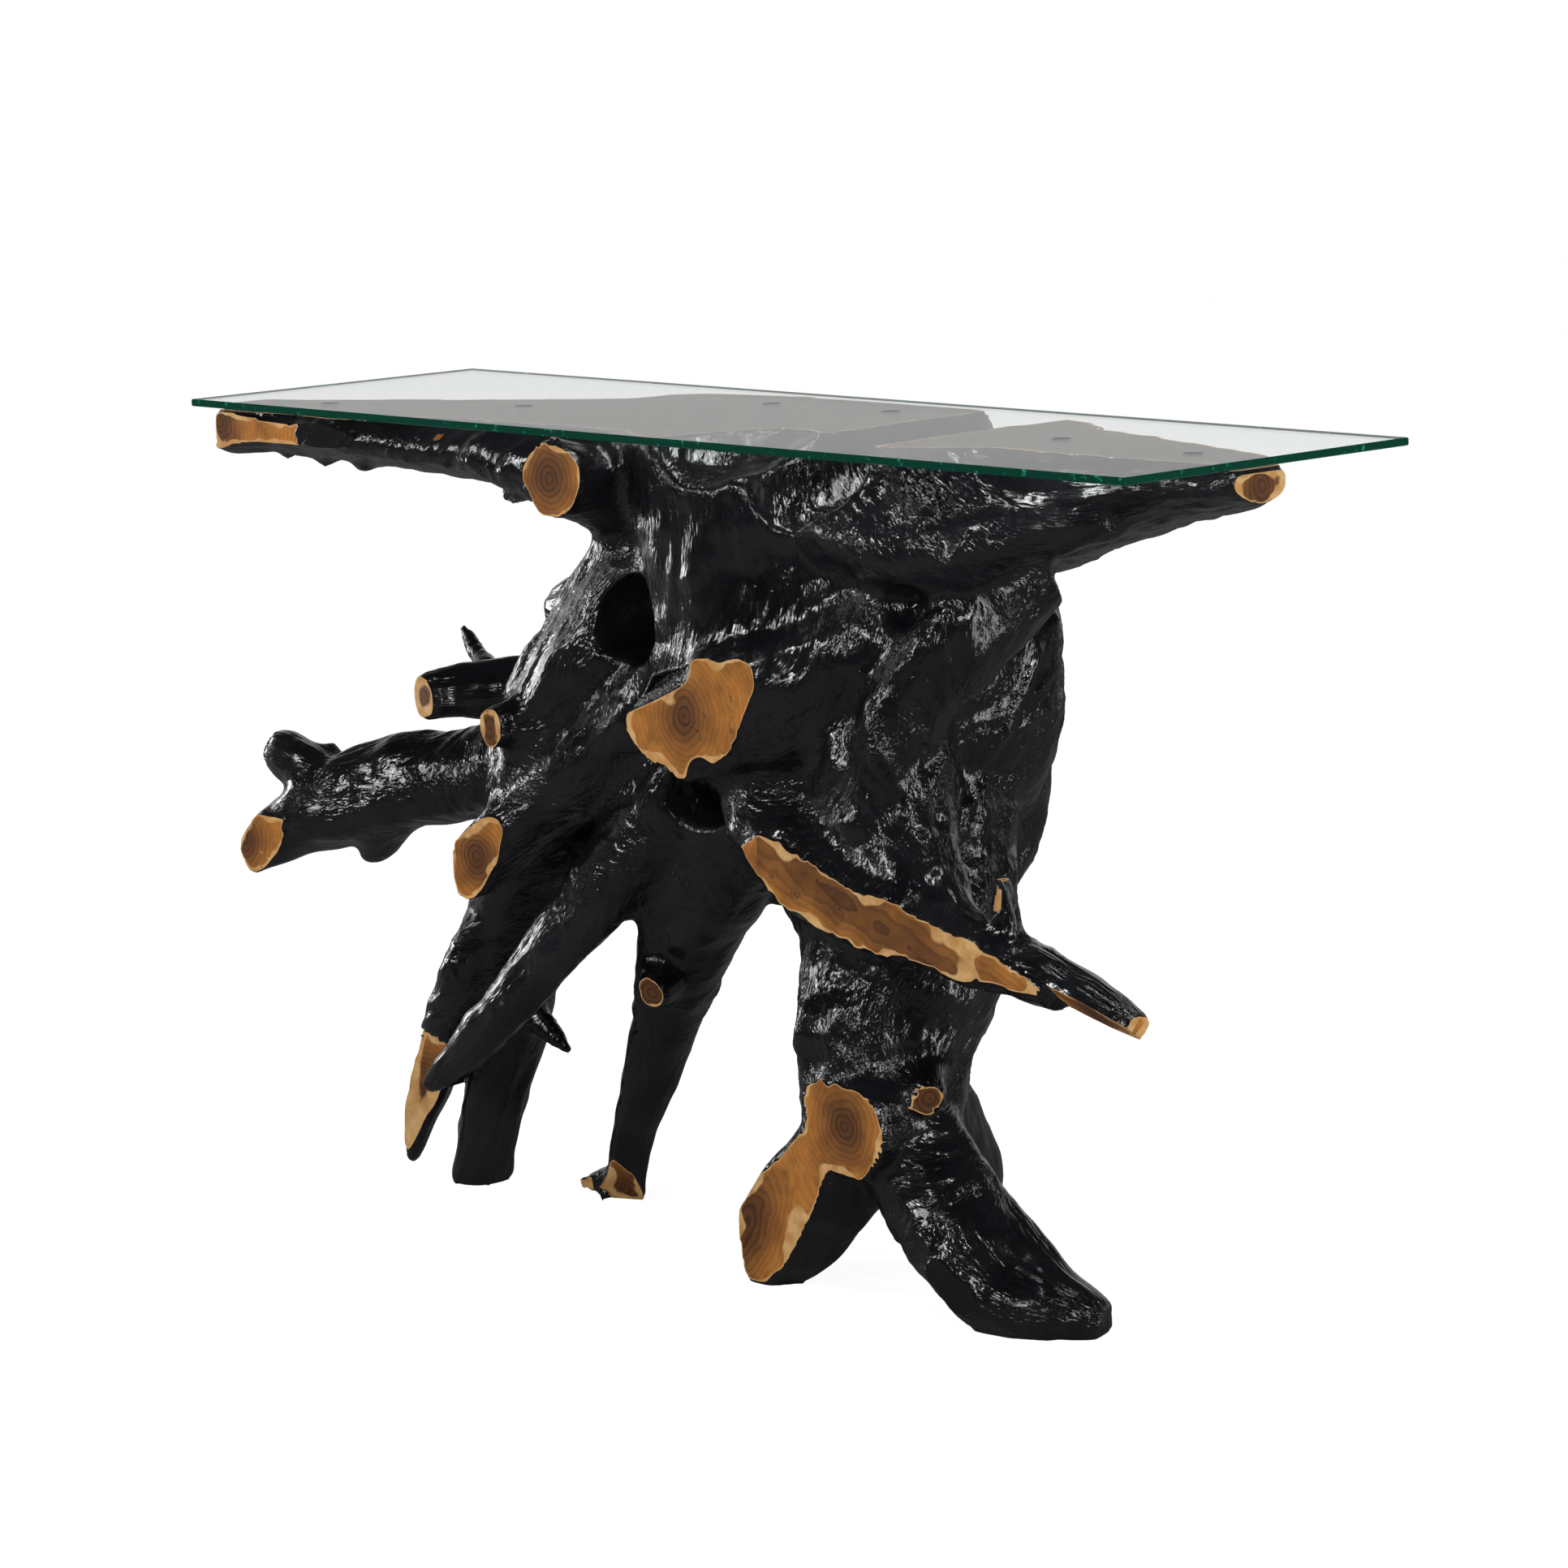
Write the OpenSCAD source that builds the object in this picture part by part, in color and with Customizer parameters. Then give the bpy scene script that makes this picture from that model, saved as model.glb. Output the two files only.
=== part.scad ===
// Tree stump console table: a rectangular glass top that lies on the sawn crown of a root stump.
// Millimetres. X runs along the table, Y from the front to the back, Z up from the floor.
// The stump is put together from root pieces, which butt on each other at hidden dowels.
// A root is a list of stations [x, y, z, half width, half height] that a smooth skin runs through.

/* [Glass top] */
// Length of the glass
glass_length = 1400; // [1260:10:1800]
// Depth of the glass, front to back
glass_depth = 410; // [360:5:520]
// Thickness of the glass
glass_thickness = 8; // [5:1:15]
// Width of the polished bevel along the edges of the glass
glass_bevel = 1; // [0.5:0.25:2]

/* [Bumper pads] */
// Thickness of the clear pads between the wood and the glass
pad_thickness = 2; // [1:0.5:6]
// Diameter of each pad
pad_diameter = 20; // [10:1:26]

/* [Stump] */
// Height of the table, from the floor to the top of the glass
table_height = 860; // [760:5:960]
// Inset of the tip of the left arm from the end of the glass
left_inset = 38; // [2:2:100]
// Inset of the tip of the right arm from the end of the glass
right_inset = 2; // [0:2:80]
// Inset of the sawn front and of the sawn back from the edges of the glass
depth_inset = 0; // [0:2:30]
// Depth of the crown, from its sawn top down to its seam with the trunk
crown_depth = 138; // [130:2:144]
// Girth of the roots against the girths drawn below
root_girth = 1; // [0.92:0.02:1.08]

/* [Dowels] */
// Diameter of the hidden dowels
dowel_diameter = 16; // [10:1:20]
// Length of the hidden dowels
dowel_length = 60; // [40:2:76]
// Play of a dowel in its bore, on the diameter
dowel_play = 0.4; // [0.2:0.1:1]
// Room for glue at each end of a dowel
dowel_end_gap = 1; // [0.5:0.5:3]

/* [Surface] */
// Depth of the flutes along the roots, as a share of their girth
flute_depth = 0.05; // [0:0.01:0.08]
// Sides of a root's section
root_sides = 16; // [12:2:20]
// Sections from one station to the next
root_steps = 3; // [2:1:4]

/* [Hidden] */
// The piece to draw
// Colours
paint = [0.06, 0.06, 0.07];
raw_wood = [0.72, 0.45, 0.2];
clear_rubber = [0.9, 0.92, 0.92, 0.6];
pane = [0.75, 0.88, 0.84, 0.4];
// Sides of the round pieces, and a size larger than the whole table
$fn = 48;
far = 3000;

// The sawn top of the stump, and the seam below it
wood_top = table_height - glass_thickness - pad_thickness;
seam_height = wood_top - crown_depth;

// Reach of the arms from the middle of the glass, and depth of the stump between its sawn sides
left_reach = glass_length / 2 - left_inset;
right_reach = glass_length / 2 - right_inset;
stump_depth = glass_depth - 2 * depth_inset;

// The stations were drawn on a stump with these reaches, depth and height, and stretch with the sizes above
drawn = [662, 698, 410, 850];
girth = root_girth * wood_top / drawn[3];
along_x = [1, 0, 0];
along_y = [0, 1, 0];

// Body of the stump. Each root: [grain seed, direction of the half width, station of its joint, stations]
core = [1, along_x, 0, [
    [84, 10, 900, 262, 186], [84, 10, 850, 262, 186], [86, 8, 780, 250, 182], [92, 5, 710, 238, 176],
    [100, 0, 640, 254, 172], [106, 0, 560, 250, 170], [112, 0, 490, 226, 160], [120, -8, 438, 190, 140],
    [130, -14, 408, 126, 98], [136, -16, 388, 64, 54]]];
crown_log = [24, along_y, 0, [
    [-308, 44, 832, 108, 54], [-268, 40, 828, 150, 88], [-180, 30, 822, 176, 114], [-50, 28, 822, 182, 128],
    [60, 28, 822, 182, 128], [180, 28, 822, 176, 112], [290, 32, 820, 150, 86], [360, 34, 816, 112, 62]]];
strut = [2, along_x, 0, [
    [-100, -60, 740, 56, 52], [-160, -76, 684, 36, 40], [-196, -100, 612, 40, 46],
    [-228, -116, 545, 46, 48], [-254, -122, 475, 42, 42], [-270, -112, 415, 26, 26]]];
face_root = [3, along_x, 0, [
    [290, -60, 660, 80, 80], [225, -90, 630, 84, 76], [160, -120, 604, 90, 76],
    [105, -155, 586, 84, 72], [80, -190, 577, 75, 66], [66, -240, 570, 72, 62]]];
fan_root = [4, along_x, 0, [
    [392, -4, 736, 36, 52], [365, -80, 668, 40, 56], [325, -120, 600, 38, 48],
    [305, -132, 540, 38, 42], [300, -132, 486, 44, 46], [290, -120, 440, 40, 44]]];
low_root = [5, along_x, 0, [
    [-10, -90, 625, 50, 54], [-62, -122, 562, 50, 50], [-130, -136, 506, 48, 46], [-190, -150, 456, 44, 44],
    [-228, -174, 416, 38, 40], [-251, -202, 386, 33, 35], [-266, -232, 366, 32, 34]]];
front_knot = [6, along_x, 0, [
    [-125, -30, 775, 80, 74], [-122, -85, 786, 62, 56], [-114, -140, 797, 50, 45],
    [-104, -182, 805, 47, 42], [-94, -240, 810, 46, 41]]];
arm_strand = [7, along_y, 0, [
    [175, -110, 775, 30, 34], [250, -128, 768, 40, 30], [322, -120, 752, 42, 30],
    [390, -98, 756, 42, 32], [460, -68, 778, 40, 30], [540, -44, 800, 30, 24]]];
back_root = [8, along_x, 0, [
    [-60, 40, 590, 90, 90], [-120, 110, 560, 74, 74], [-160, 165, 535, 60, 60], [-185, 240, 515, 56, 56]]];
flank_root = [9, along_x, 0, [
    [190, 50, 700, 66, 66], [212, 100, 620, 54, 60], [226, 118, 540, 46, 54],
    [232, 100, 450, 52, 54], [232, 50, 385, 46, 50]]];
burl = [25, along_x, 0, [[232, -10, 705, 80, 62], [262, -70, 690, 72, 52], [284, -112, 676, 40, 30]]];
shoulder = [26, along_x, 0, [
    [235, -60, 600, 80, 70], [264, -92, 542, 76, 72], [298, -114, 484, 68, 62], [346, -136, 434, 52, 46],
    [400, -156, 406, 38, 32], [450, -166, 392, 22, 20]]];

// Roots that a joint parts from the body
left_body = [10, along_x, 5, [
    [-20, -30, 705, 112, 104], [-80, -45, 645, 106, 108], [-150, -66, 580, 104, 108],
    [-205, -82, 500, 90, 98], [-250, -88, 420, 76, 84], [-290, -87, 335, 57, 66],
    [-322, -83, 240, 45, 50], [-354, -85, 130, 36, 38], [-380, -90, 40, 33, 34], [-392, -92, -20, 33, 34]]];
left_arm = [11, along_y, 2, [
    [-150, -5, 800, 180, 74], [-250, -35, 815, 158, 54], [-330, -62, 822, 132, 42], [-402, -92, 826, 110, 38],
    [-515, -130, 829, 82, 32], [-600, -160, 831, 60, 28], [-650, -176, 832, 46, 30], [-690, -188, 831, 38, 29]]];
right_arm = [12, along_y, 2, [
    [190, 0, 770, 150, 100], [300, 20, 790, 148, 92], [390, 28, 802, 122, 76], [500, 15, 817, 92, 54],
    [600, 2, 829, 66, 38], [680, -10, 836, 45, 25], [740, -18, 840, 36, 20]]];
short_root = [13, along_y, 2, [
    [-190, -50, 545, 60, 60], [-250, -62, 551, 46, 44], [-302, -86, 556, 38, 37],
    [-334, -122, 556, 31, 32], [-350, -148, 554, 28, 28], [-357, -174, 553, 26, 27]]];
long_root = [14, along_y, 2, [
    [-215, -60, 488, 72, 66], [-282, -66, 474, 64, 54], [-350, -78, 460, 57, 50], [-420, -102, 447, 52, 52],
    [-490, -130, 432, 50, 53], [-552, -154, 410, 46, 50], [-598, -180, 380, 33, 34], [-634, -216, 350, 25, 27]]];
sloping_root = [15, along_x, 2, [
    [-15, -95, 500, 66, 52], [-58, -122, 436, 54, 44], [-110, -142, 370, 42, 36], [-179, -164, 289, 35, 29],
    [-262, -178, 205, 28, 23], [-325, -186, 152, 20, 17], [-360, -190, 124, 9, 8]]];
split_root = [16, along_x, 3, [
    [-265, -95, 405, 50, 50], [-315, -106, 312, 38, 42], [-358, -120, 236, 32, 36], [-398, -130, 160, 27, 30],
    [-431, -132, 85, 19, 24], [-456, -130, 16, 5, 7]]];
middle_leg = [17, along_x, 2, [
    [70, -60, 500, 95, 90], [5, -62, 424, 72, 76], [-57, -62, 330, 56, 60], [-99, -60, 240, 39, 44],
    [-138, -57, 150, 28, 31], [-182, -52, 60, 24, 25], [-206, -48, -14, 28, 28]]];
right_leg = [18, along_x, 3, [
    [180, -15, 480, 160, 140], [218, -32, 410, 126, 124], [254, -58, 340, 104, 112], [262, -90, 270, 92, 102],
    [276, -118, 205, 80, 90], [276, -126, 160, 70, 78], [272, -130, 132, 48, 54]]];
left_foot = [19, along_x, 3, [
    [284, -124, 214, 60, 68], [278, -138, 178, 54, 66], [260, -150, 140, 53, 62], [230, -160, 106, 57, 60],
    [203, -166, 74, 58, 60], [182, -170, 40, 54, 54], [172, -176, 8, 36, 36], [172, -178, -16, 24, 26]]];
boot = [20, along_y, 2, [
    [278, -112, 205, 56, 56], [314, -122, 158, 58, 58], [362, -130, 112, 62, 58], [412, -136, 72, 64, 56],
    [462, -138, 42, 66, 54], [510, -136, 24, 58, 42], [552, -127, 17, 42, 30], [578, -116, 12, 22, 17]]];
rear_foot = [21, along_x, 2, [
    [242, -66, 188, 50, 44], [224, -8, 164, 48, 46], [206, 44, 118, 44, 46],
    [194, 78, 60, 39, 40], [186, 98, 0, 37, 38], [184, 104, -25, 37, 38]]];
branch = [22, along_y, 5, [
    [110, -60, 480, 90, 80], [185, -128, 448, 76, 60], [262, -158, 420, 60, 50], [335, -168, 399, 51, 42],
    [400, -172, 390, 48, 38], [470, -172, 378, 43, 33], [530, -172, 367, 37, 29], [600, -174, 352, 30, 26],
    [650, -178, 341, 23, 22], [684, -181, 333, 18, 17]]];

// Small shoots and knobs on the pieces: [grain seed, direction of the half width, 0, stations]
neck_knob = [31, along_x, 0, [[-180, -58, 655, 48, 46], [-232, -58, 648, 36, 36], [-262, -58, 646, 20, 24]]];
side_knob = [32, along_x, 0, [[-190, -100, 545, 36, 38], [-206, -150, 541, 27, 30], [-214, -220, 537, 19, 24]]];
peg = [33, along_x, 0, [[-8, -120, 522, 12, 12], [-18, -148, 496, 9, 9], [-22, -154, 456, 8, 8]]];
crown_peg = [34, along_y, 0, [[-270, -60, 790, 24, 22], [-318, -56, 768, 15, 15], [-344, -54, 762, 13, 13]]];
right_knob = [35, along_x, 0, [[335, -120, 226, 26, 24], [364, -142, 219, 20, 19], [380, -156, 216, 18, 17]]];
ankle_knob = [36, along_x, 0, [[335, -112, 158, 34, 34], [372, -110, 158, 25, 27], [392, -108, 162, 13, 14]]];
shin = [51, along_x, 0, [[292, -110, 202, 62, 58], [308, -165, 184, 55, 53], [314, -240, 178, 53, 49]]];
leg_lump = [37, along_x, 0, [[226, -95, 232, 36, 26], [190, -98, 212, 26, 26], [174, -100, 188, 13, 18]]];
root_fist = [38, along_y, 0, [
    [-535, -146, 420, 42, 40], [-582, -150, 444, 34, 34], [-616, -152, 458, 29, 28], [-640, -153, 464, 24, 25]]];
root_nub = [39, along_x, 0, [[-556, -126, 440, 16, 16], [-576, -122, 464, 11, 11], [-588, -120, 476, 6, 6]]];
root_spur = [40, along_x, 0, [[-468, -126, 412, 34, 34], [-494, -128, 380, 26, 24], [-514, -128, 356, 13, 12]]];
twig = [41, along_x, 0, [[-326, -98, 560, 22, 22], [-384, -62, 574, 15, 15], [-432, -40, 592, 11, 11],
    [-454, -34, 606, 8, 8]]];
leg_spur = [42, along_x, 0, [[-300, -100, 306, 25, 25], [-318, -142, 300, 19, 19], [-334, -158, 280, 12, 12]]];
leg_hook = [43, along_x, 0, [[-318, -84, 208, 24, 22], [-276, -86, 188, 14, 14], [-240, -87, 166, 8, 8],
    [-232, -87, 160, 4, 4]]];
split_spur = [44, along_x, 0, [[-372, -122, 196, 18, 18], [-402, -114, 184, 14, 14], [-424, -110, 186, 11, 11]]];
leg_stub = [45, along_x, 0, [[-78, -72, 282, 34, 34], [-64, -102, 270, 25, 28], [-56, -130, 261, 18, 22]]];
foot_nub = [46, along_x, 0, [[-214, -50, 22, 18, 15], [-240, -53, 14, 13, 12], [-257, -55, 11, 11, 10]]];
branch_twig = [47, along_x, 0, [[502, -170, 388, 24, 22], [504, -172, 426, 15, 16], [504, -174, 454, 12, 13]]];
branch_jag = [48, along_x, 0, [[596, -174, 356, 20, 20], [606, -174, 330, 8, 8]]];
arm_nubs = [for (n = [[-470, 795, 13], [-535, 798, 12], [-598, 800, 10]])
    [49, along_x, 0, [[n[0], -150, n[1] + 8, n[2] + 4, n[2]], [n[0] - 4, -152, n[1] - 8, n[2] - 4, n[2] - 5]]]];
wing_nubs = [for (n = [[500, -34, 776, 16], [575, -20, 798, 13], [640, -20, 816, 10]])
    [50, along_x, 0, [[n[0], n[1], n[2] + 10, n[3] + 4, n[3]], [n[0] + 5, n[1], n[2] - 10, n[3] - 5, n[3] - 6]]]];

// Hollows: the arch under the neck, the recess under the big face, the saddle and the scoop in the crown
arch = [61, along_x, 0, [[-46, -300, 655, 54, 52], [-50, -150, 658, 50, 46], [-54, -100, 660, 42, 38],
    [-58, -66, 662, 20, 20]]];
recess = [62, along_x, 0, [[46, -300, 482, 56, 46], [42, -150, 482, 48, 38], [40, -105, 482, 34, 26],
    [40, -82, 480, 14, 12]]];
saddle = [63, along_x, 0, [[218, -320, 838, 74, 74], [205, -120, 842, 66, 68], [205, 0, 856, 60, 46],
    [198, 120, 864, 70, 50], [192, 320, 866, 78, 58]]];
scoop = [64, along_x, 0, [[120, -320, 872, 118, 72], [108, -140, 876, 98, 58], [100, -40, 886, 70, 38]]];

// A point of the drawing, moved to the chosen sizes
function spot(s) = [s[0] * (s[0] < 0 ? left_reach / drawn[0] : right_reach / drawn[1]),
    s[1] * stump_depth / drawn[2], s[2] * wood_top / drawn[3]];

// Smooth curve from station b to station c, between a and d
function smooth(a, b, c, d, t) =
    b + 0.5 * t * ((c - a) + t * ((2 * a - 5 * b + 4 * c - d) + t * (3 * (b - c) + d - a)));
function held(v, i) = v[max(0, min(len(v) - 1, i))];
function fine(v) = [for (i = [0:len(v) - 2]) for (k = [0:root_steps - 1])
    smooth(held(v, i - 1), v[i], v[i + 1], held(v, i + 2), k / root_steps), v[len(v) - 1]];

// Section of a root at fine station i, square to its run and fluted round its edge
function unit(v) = v / norm(v);
function run(v, i) = unit(spot(held(v, i + 1)) - spot(held(v, i - 1)));
function flute(a, i, seed) =
    1 + flute_depth * (cos(3 * a + 40 * seed + 5 * i) + 0.6 * cos(5 * a - 70 * seed - 7 * i));
function section(v, i, wide, seed, sides) =
    let (t = run(v, i), u = unit(wide - (wide * t) * t), w = cross(t, u), p = spot(v[i]))
    [for (k = [0:sides - 1]) let (a = 360 * k / sides, g = girth * flute(a, i, seed))
        p + u * v[i][3] * g * cos(a) + w * v[i][4] * g * sin(a)];

// Closed skin over a list of sections with equal numbers of points
module skin(sections) {
    n = len(sections[0]);
    m = len(sections);
    middle = [for (s = [sections[0], sections[m - 1]]) [for (k = [1:n]) 1] * s / n];
    sides = [for (i = [0:m - 2]) for (k = [0:n - 1]) let (a = i * n + k, b = i * n + (k + 1) % n)
        each [[a, a + n, b], [b, a + n, b + n]]];
    ends = [for (k = [0:n - 1]) let (q = (k + 1) % n, z = (m - 1) * n)
        each [[k, q, m * n], [z + q, z + k, m * n + 1]]];
    polyhedron(concat([for (s = sections) each s], middle), concat(sides, ends));
}

// A root from one of its stations to another, or to its end
module root(r, from = 0, to = -1, sides = root_sides) {
    v = fine(r[3]);
    last = to < 0 ? len(v) - 1 : to * root_steps;
    skin([for (i = [from * root_steps:last]) section(v, i, r[1], r[0], sides)]);
}

module shoots(list, sides = 10) {
    for (r = list) root(r, sides = sides);
}

// All space past a plane through p, along n
module beyond(p, n) {
    translate(p) rotate([0, acos(n[2] / norm(n)), atan2(n[1], n[0])])
        translate([-far / 2, -far / 2, 0]) cube(far);
}

// Place and direction of a root's joint
function joint(r) = let (v = fine(r[3]), i = r[2] * root_steps) [spot(v[i]), run(v, i)];

module before_joint(r) {
    difference() {
        children();
        beyond(joint(r)[0], joint(r)[1]);
    }
}

module past_joint(r) {
    difference() {
        children();
        beyond(joint(r)[0], -joint(r)[1]);
    }
}

module at_joint(r) {
    j = joint(r);
    translate(j[0]) rotate([0, acos(j[1][2]), atan2(j[1][1], j[1][0])]) children();
}

module dowel() {
    color(raw_wood) cylinder(d = dowel_diameter, h = dowel_length, center = true);
}

module dowel_bore() {
    cylinder(d = dowel_diameter + dowel_play, h = dowel_length + 2 * dowel_end_gap, center = true);
}

// Where the dowels of the crown seam stand
seam_spots = [[-90, 0], [60, 70], [220, -20]];
module at_seam(i) {
    p = spot([seam_spots[i][0], seam_spots[i][1], 0]);
    translate([p[0], p[1], seam_height]) children();
}

// Everything that the saw takes off: above the glass line, below the floor and past the four sides
module sawn_off() {
    beyond([0, 0, wood_top], [0, 0, 1]);
    beyond([0, 0, 0], [0, 0, -1]);
    beyond([0, -stump_depth / 2, 0], [0, -1, 0]);
    beyond([0, stump_depth / 2, 0], [0, 1, 0]);
    beyond([-left_reach, 0, 0], [-1, 0, 0]);
    beyond([right_reach, 0, 0], [1, 0, 0]);
}

// Roots that leave the crown, and roots that leave the trunk
crown_limbs = [left_arm, right_arm];
trunk_limbs = [left_body, short_root, long_root, sloping_root, middle_leg, right_leg, branch];

// Roots that cross the seam: the core, the strut, the flank, the burl and the fan, which ends at the right arm
module seam_roots() {
    root(core, sides = 28);
    root(strut);
    root(flank_root);
    root(burl);
    before_joint(right_arm) root(fan_root);
}

module seam_bores() {
    for (i = [0:len(seam_spots) - 1]) at_seam(i) dowel_bore();
}

module crown() {
    color(paint) difference() {
        union() {
            seam_roots();
            root(crown_log);
            root(front_knot);
            for (r = crown_limbs) root(r, 0, r[2]);
            before_joint(right_arm) root(arm_strand);
            shoots([crown_peg]);
        }
        sawn_off();
        beyond([0, 0, seam_height], [0, 0, -1]);
        shoots([saddle, scoop], sides = 16);
        for (r = crown_limbs) at_joint(r) dowel_bore();
        seam_bores();
    }
}

module trunk() {
    color(paint) difference() {
        union() {
            seam_roots();
            for (r = [face_root, low_root, back_root, shoulder]) root(r);
            for (r = trunk_limbs) root(r, 0, r[2]);
            before_joint(left_body) root(split_root, 0, split_root[2]);
            shoots([neck_knob, side_knob, peg]);
        }
        sawn_off();
        beyond([0, 0, seam_height], [0, 0, 1]);
        shoots([arch, recess], sides = 16);
        for (r = trunk_limbs) at_joint(r) dowel_bore();
        seam_bores();
    }
}

// A root past its joint, with the shoots given as children and the joints of the roots it carries
module limb(r, carries = []) {
    color(paint) difference() {
        union() {
            root(r, r[2]);
            for (c = carries) root(c, 0, c[2]);
            children();
        }
        sawn_off();
        at_joint(r) dowel_bore();
        for (c = carries) at_joint(c) dowel_bore();
    }
}

module left_arm() {
    limb(left_arm) shoots(arm_nubs, 8);
}

module right_arm() {
    limb(right_arm) {
        past_joint(right_arm) {
            root(arm_strand);
            root(fan_root);
        }
        shoots(wing_nubs, 8);
    }
}

module short_root() {
    limb(short_root) shoots([twig]);
}

module long_root() {
    limb(long_root) shoots([root_fist, root_nub, root_spur]);
}

module sloping_root() {
    limb(sloping_root);
}

module split_root() {
    limb(split_root);
}

module left_leg() {
    color(paint) difference() {
        union() {
            root(left_body, left_body[2]);
            past_joint(left_body) root(split_root, 0, split_root[2]);
            shoots([leg_spur, leg_hook, split_spur]);
        }
        sawn_off();
        at_joint(left_body) dowel_bore();
        at_joint(split_root) dowel_bore();
    }
}

module middle_leg() {
    limb(middle_leg) shoots([leg_stub, foot_nub]);
}

module right_leg() {
    limb(right_leg, [left_foot, boot, rear_foot]) shoots([right_knob, shin, leg_lump]);
}

module left_foot() {
    limb(left_foot);
}

module boot() {
    limb(boot) past_joint(boot) shoots([ankle_knob]);
}

module rear_foot() {
    limb(rear_foot);
}

module branch() {
    limb(branch) shoots([branch_twig, branch_jag]);
}

// Clear pads on the sawn top
pad_spots = [[-540, -138], [-330, -40], [-110, 120], [60, 130], [400, 30], [600, 2]];
module pad(i) {
    p = spot([pad_spots[i][0], pad_spots[i][1], 0]);
    color(clear_rubber) translate([p[0], p[1], wood_top]) cylinder(d = pad_diameter, h = pad_thickness);
}

// Edge outline of the pane, with its bevels
module pane_edge(width) {
    b = glass_bevel;
    w = width / 2;
    t = glass_thickness / 2;
    polygon([[-w + b, -t], [w - b, -t], [w, -t + b], [w, t - b], [w - b, t], [-w + b, t], [-w, t - b], [-w, -t + b]]);
}

module glass_top() {
    color(pane) translate([0, 0, table_height - glass_thickness / 2]) intersection() {
        rotate([90, 0, 90]) linear_extrude(glass_length, center = true) pane_edge(glass_depth);
        rotate([90, 0, 0]) linear_extrude(glass_depth, center = true) pane_edge(glass_length);
    }
}

joints = [["left_arm", left_arm], ["right_arm", right_arm], ["short_root", short_root], ["long_root", long_root],
    ["sloping_root", sloping_root], ["split_root", split_root], ["left_leg", left_body],
    ["middle_leg", middle_leg], ["right_leg", right_leg], ["left_foot", left_foot], ["boot", boot],
    ["rear_foot", rear_foot], ["branch", branch]];

glass_top();
crown();
trunk();
left_arm();
right_arm();
short_root();
long_root();
sloping_root();
split_root();
left_leg();
middle_leg();
right_leg();
left_foot();
boot();
rear_foot();
branch();
for (j = joints)
    at_joint(j[1]) dowel();
for (i = [0:len(seam_spots) - 1])
    at_seam(i) dowel();
for (i = [0:len(pad_spots) - 1])
    pad(i);
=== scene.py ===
# %% [markdown]
# # Tree stump console table
# The real table is a pane of clear glass that lies on the stump of a teak tree, turned root side out.
# The stump was sawn level on top, sawn flat in front and behind, and painted with black gloss lacquer,
# and every saw cut was left bare. The CAD model gives each root its place, and this script gives the
# roots their skin: lumps, ridges along the fibre, crisp saw cuts, lacquer and bare wood.
#
# Everything is in metres, in the frame of the CAD model.

# %% The frame
import math

import bmesh
import bpy
import numpy as np
from mathutils import Matrix, Vector, noise
from mathutils.bvhtree import BVHTree
from mathutils.kdtree import KDTree


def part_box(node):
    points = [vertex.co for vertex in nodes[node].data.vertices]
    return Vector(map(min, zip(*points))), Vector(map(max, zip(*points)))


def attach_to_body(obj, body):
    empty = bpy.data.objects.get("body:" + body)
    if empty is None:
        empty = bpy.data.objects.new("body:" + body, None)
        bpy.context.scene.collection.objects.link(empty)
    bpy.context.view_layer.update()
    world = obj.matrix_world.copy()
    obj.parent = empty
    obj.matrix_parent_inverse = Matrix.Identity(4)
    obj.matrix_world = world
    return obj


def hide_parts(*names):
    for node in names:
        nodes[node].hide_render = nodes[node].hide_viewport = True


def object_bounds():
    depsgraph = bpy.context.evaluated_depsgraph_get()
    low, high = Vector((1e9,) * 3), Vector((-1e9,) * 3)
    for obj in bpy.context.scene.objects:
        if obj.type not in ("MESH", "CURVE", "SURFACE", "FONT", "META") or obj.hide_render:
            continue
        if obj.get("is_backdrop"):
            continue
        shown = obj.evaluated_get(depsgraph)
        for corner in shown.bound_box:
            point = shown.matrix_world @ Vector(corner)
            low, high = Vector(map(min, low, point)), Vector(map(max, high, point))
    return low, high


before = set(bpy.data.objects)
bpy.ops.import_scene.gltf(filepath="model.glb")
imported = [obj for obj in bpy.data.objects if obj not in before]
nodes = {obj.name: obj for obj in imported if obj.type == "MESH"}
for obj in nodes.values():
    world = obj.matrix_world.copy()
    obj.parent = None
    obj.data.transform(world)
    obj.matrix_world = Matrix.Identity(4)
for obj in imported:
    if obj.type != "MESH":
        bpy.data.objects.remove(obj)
cad_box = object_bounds()
print("The CAD model's box:", [[round(c, 3) for c in corner] for corner in cad_box])

# %% [markdown]
# ## One skin over all the roots
# On the real stump the roots grow out of each other with soft webs in the crotches. The CAD solids meet
# in sharp creases, so a copy of all of them goes through one voxel remesh, which makes a single even skin,
# and a little smoothing rounds the creases and the facets. The skin is swollen, remeshed and shrunk again,
# which fills the crotches with webs. Subdividing each solid would keep the creases, and sculpting each
# crotch by hand would need hundreds of guessed points.

# %% The wood of the CAD model
WOOD = [
    "crown", "trunk", "left_arm", "right_arm", "short_root", "long_root", "sloping_root", "split_root",
    "left_leg", "middle_leg", "right_leg", "left_foot", "boot", "rear_foot", "branch",
]
MM = 0.001


def merged_copy(name):
    """A copy of a CAD node's mesh, with its loose triangles joined."""
    bm = bmesh.new()
    bm.from_mesh(nodes[name].data)
    bmesh.ops.remove_doubles(bm, verts=bm.verts, dist=0.001 * MM)
    mesh = bpy.data.meshes.new(name + "_copy")
    bm.to_mesh(mesh)
    bm.free()
    return mesh


wood = {name: merged_copy(name) for name in WOOD}
print("Wood triangles in the CAD model:", sum(len(mesh.polygons) for mesh in wood.values()))

# %% The skin


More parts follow.
